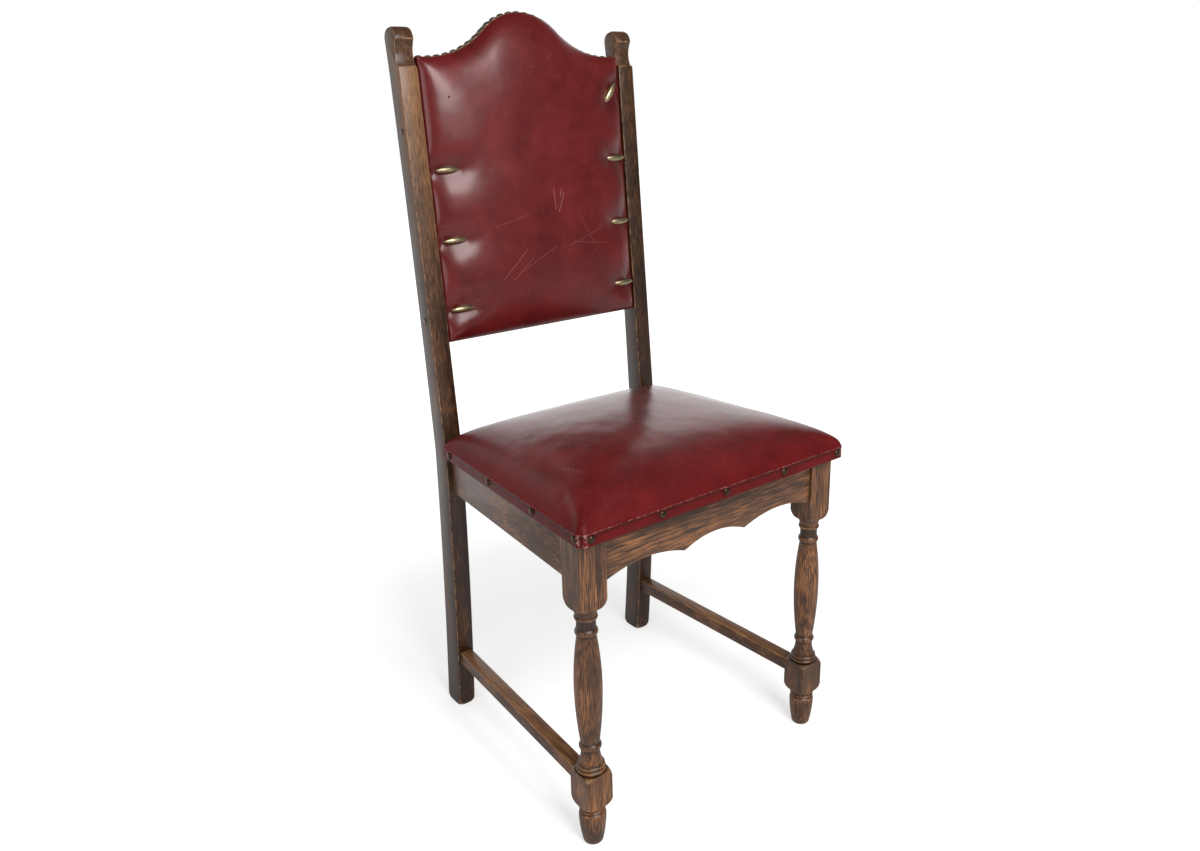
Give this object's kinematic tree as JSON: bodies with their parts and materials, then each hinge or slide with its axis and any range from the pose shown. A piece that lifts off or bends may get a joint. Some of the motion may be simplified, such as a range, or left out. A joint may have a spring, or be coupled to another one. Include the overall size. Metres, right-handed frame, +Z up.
{
  "type": "upholstered dining chair",
  "caption": "Upholstered dining chair with turned front legs, scalloped front rail, nailed leather seat and a camel-back leather panel between two raked posts.",
  "frame": {"origin": "on the floor, under the middle of the chair's bounding box", "axes": "+Z up, -Y towards the front where the sitter faces, +X to the right of someone standing in front of the chair"},
  "size_m": [0.4634, 0.4738, 1.0504],
  "materials": {
    "dark_oak": "dark-stained oak, waxed, worn pale along its edges",
    "plain_wood": "unfinished, sawn",
    "stuffing": "cotton wadding",
    "oxblood_leather": "smooth, polished by use, finely creased",
    "bronzed_nail": "dark bronzed",
    "aged_brass": "antique brass, tarnished",
    "screw_steel": "dull"
  },
  "bodies": {
    "root": {"rear_post_left": "dark_oak", "rear_post_right": "dark_oak", "front_leg_left": "dark_oak", "front_leg_right": "dark_oak", "front_seat_rail": "dark_oak", "rear_seat_rail": "dark_oak", "side_seat_rail_left": "dark_oak", "side_seat_rail_right": "dark_oak", "side_stretcher_left": "dark_oak", "side_stretcher_right": "dark_oak", "corner_block_front_left": "plain_wood", "corner_block_front_right": "plain_wood", "corner_block_rear_left": "plain_wood", "corner_block_rear_right": "plain_wood", "seat_board": "plain_wood", "seat_padding": "stuffing", "seat_cover": "oxblood_leather", "seat_nails": "bronzed_nail", "seat_screws": "screw_steel", "back_board": "plain_wood", "back_padding": "stuffing", "back_front_cover": "oxblood_leather", "back_rear_cover": "oxblood_leather", "crest_nails": "bronzed_nail", "back_studs": "aged_brass", "back_screws": "screw_steel", "post_plugs": "dark_oak"}
  },
  "joints": []
}
